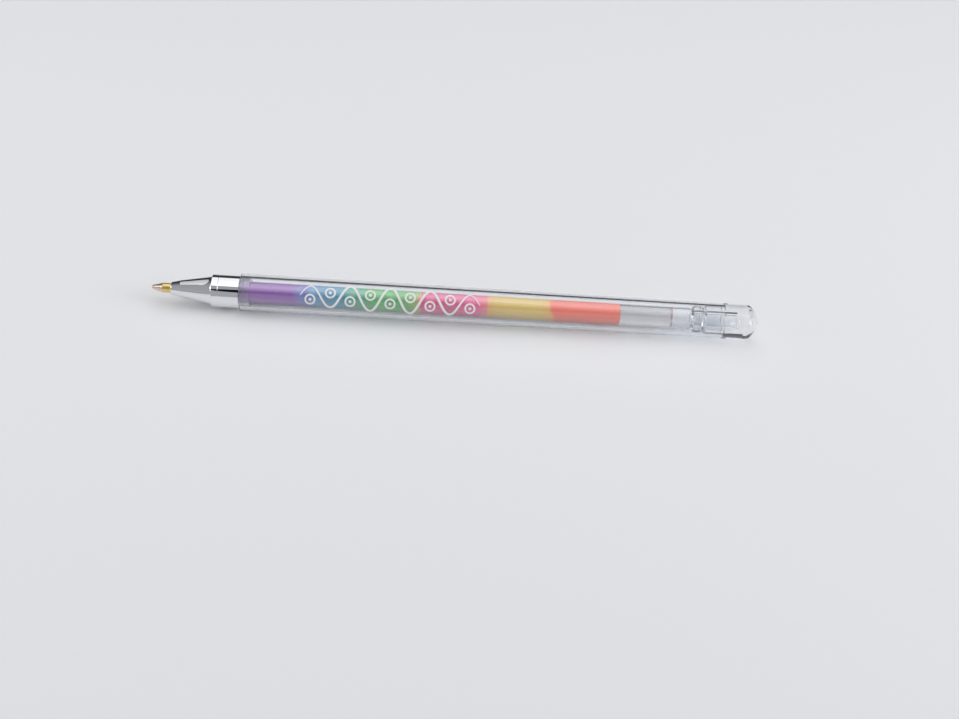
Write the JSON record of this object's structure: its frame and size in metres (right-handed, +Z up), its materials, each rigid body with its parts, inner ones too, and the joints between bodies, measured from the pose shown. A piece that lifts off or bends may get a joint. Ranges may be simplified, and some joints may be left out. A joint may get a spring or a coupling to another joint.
{
  "type": "gel pen",
  "caption": "Stick gel pen with a clear round barrel, bright nose cone, brass tip, a stacked multicolour ink column and a clear faceted tail plug.",
  "frame": {"origin": "middle of the pen's length, under its axis, on the surface that the barrel lies on", "axes": "+X along the pen from the writing tip to the tail, +Z up, +Y across the pen"},
  "size_m": [0.145, 0.009, 0.009],
  "materials": {
    "clear_barrel": "clear polystyrene, glossy, see-through",
    "metallised_nose": "vacuum-metallised plastic, mirror silver",
    "clear_insert": "clear plastic, slightly hazy",
    "tip_brass": "turned brass with fine tool marks",
    "ball_carbide": "polished tungsten carbide",
    "holder_plastic": "natural moulded plastic",
    "tube_plastic": "clear extruded polypropylene",
    "follower_grease": "clear grease",
    "clear_plug": "clear polystyrene, glossy, see-through",
    "ink_violet": "opaque pastel gel ink",
    "ink_blue": "opaque pastel gel ink",
    "ink_green": "opaque pastel gel ink",
    "ink_pink": "opaque pastel gel ink",
    "ink_yellow": "opaque pastel gel ink",
    "ink_orange": "opaque pastel gel ink"
  },
  "bodies": {
    "barrel": {"barrel": "clear_barrel"},
    "refill": {"ink_tube": "tube_plastic", "tip_holder": "holder_plastic", "tip_body": "tip_brass", "ink_violet": "ink_violet", "ink_blue": "ink_blue", "ink_green": "ink_green", "ink_pink": "ink_pink", "ink_yellow": "ink_yellow", "ink_orange": "ink_orange"},
    "nose": {"nose_cone": "metallised_nose", "nose_insert": "clear_insert"},
    "ball": {"ball": "ball_carbide"},
    "follower": {"follower": "follower_grease"},
    "tail_plug": {"tail_plug": "clear_plug"}
  },
  "joints": [
    {"name": "refill_slide", "type": "slide", "parent": "barrel", "child": "refill", "axis": [-1, 0, 0], "range_m": [0, 0.112]},
    {"name": "nose_slide", "type": "slide", "parent": "refill", "child": "nose", "axis": [-1, 0, 0], "range_m": [0, 0.026]},
    {"name": "ball_roll", "type": "hinge", "parent": "refill", "child": "ball", "pos_m": [-0.072, 0, 0.0045], "axis": [0, 1, 0], "continuous": true},
    {"name": "follower_advance", "type": "slide", "parent": "refill", "child": "follower", "axis": [-1, 0, 0], "range_m": [0, 0.08], "deforming": ["ink_violet", "ink_blue", "ink_green", "ink_pink", "ink_yellow", "ink_orange"]},
    {"name": "plug_slide", "type": "slide", "parent": "barrel", "child": "tail_plug", "axis": [1, 0, 0], "range_m": [0, 0.01]}
  ]
}
